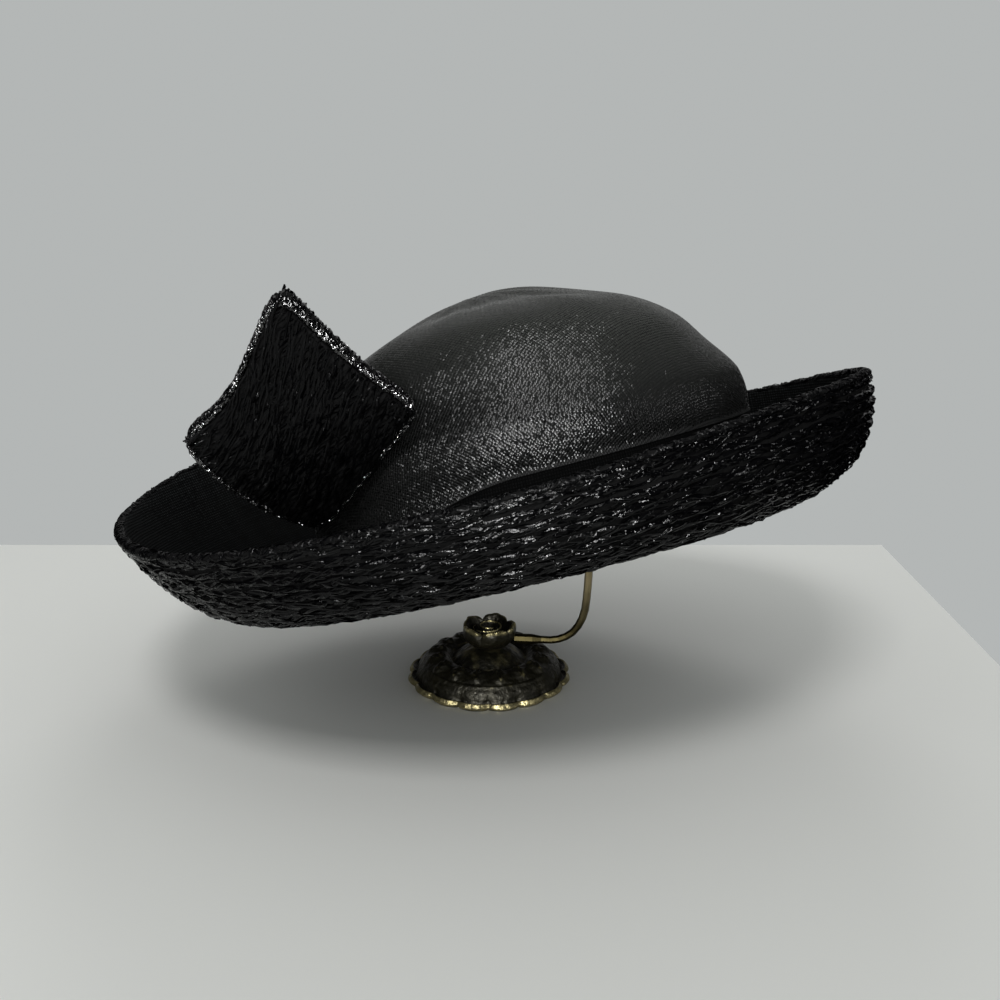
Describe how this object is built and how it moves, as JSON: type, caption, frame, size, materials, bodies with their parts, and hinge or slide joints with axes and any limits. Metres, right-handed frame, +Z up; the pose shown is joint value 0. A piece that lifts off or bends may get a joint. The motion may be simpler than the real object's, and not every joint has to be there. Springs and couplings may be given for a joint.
{
  "type": "upturned-brim cloche hat on a hat stand",
  "caption": "Soft domed straw hat with a rolled-up brim covered in sewn braid and a square braid bow at the side, resting on a small brass hat stand with a scalloped foot and a bent rod.",
  "frame": {"origin": "centre of the stand's foot, on the table", "axes": "+Z up, -X towards the hat's front, -Y towards the side with the bow"},
  "size_m": [0.3383, 0.2665, 0.1921],
  "materials": {
    "straw_cloth": "dark grey woven straw, soft sheen",
    "straw_braid": "black glossy straw braid",
    "aged_brass": "aged, dark in the hollows and bright on the edges"
  },
  "bodies": {
    "root": {"crown": "straw_cloth", "brim": "straw_cloth", "braid_cover": "straw_braid", "rim_braid": "straw_braid", "bow_panel": "straw_braid", "bow_edging": "straw_braid", "bow_fold": "straw_braid", "stand_foot": "aged_brass", "stand_rosette": "aged_brass", "stand_arm": "aged_brass", "stand_pad": "aged_brass"}
  },
  "joints": []
}
